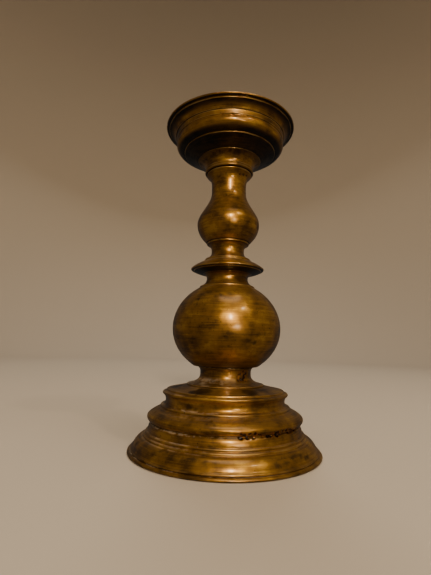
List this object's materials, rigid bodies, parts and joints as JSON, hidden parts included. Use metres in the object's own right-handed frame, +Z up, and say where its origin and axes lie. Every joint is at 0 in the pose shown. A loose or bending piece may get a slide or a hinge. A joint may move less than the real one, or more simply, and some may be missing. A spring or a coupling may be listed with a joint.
{
  "type": "pricket candlestick",
  "caption": "Free-standing turned brass pricket candlestick: stepped round foot, ball and vase stem, wide drip pan with an iron spike that a candle is pushed on to.",
  "frame": {"origin": "centre of the face that the foot rests on", "axes": "+Z up along the axis of the stem, towards the spike; -Y towards the front"},
  "size_m": [0.15, 0.15, 0.2993],
  "materials": {
    "aged_brass": "turned and waxed, golden-brown patina, dark in the recesses, worn bright on the arrises",
    "dark_iron": "wrought iron, dark and lightly rusted"
  },
  "bodies": {
    "root": {"foot": "aged_brass", "neck_spool": "aged_brass", "ball_knop": "aged_brass", "scotia_spool": "aged_brass", "knife_ring": "aged_brass", "waist_spool": "aged_brass", "vase": "aged_brass", "pan_collar": "aged_brass", "pan_bowl": "aged_brass", "drip_dish": "aged_brass", "pricket_washer": "aged_brass", "pricket": "dark_iron", "tie_rod": "dark_iron", "foot_washer": "dark_iron", "foot_nut": "dark_iron"}
  },
  "joints": []
}
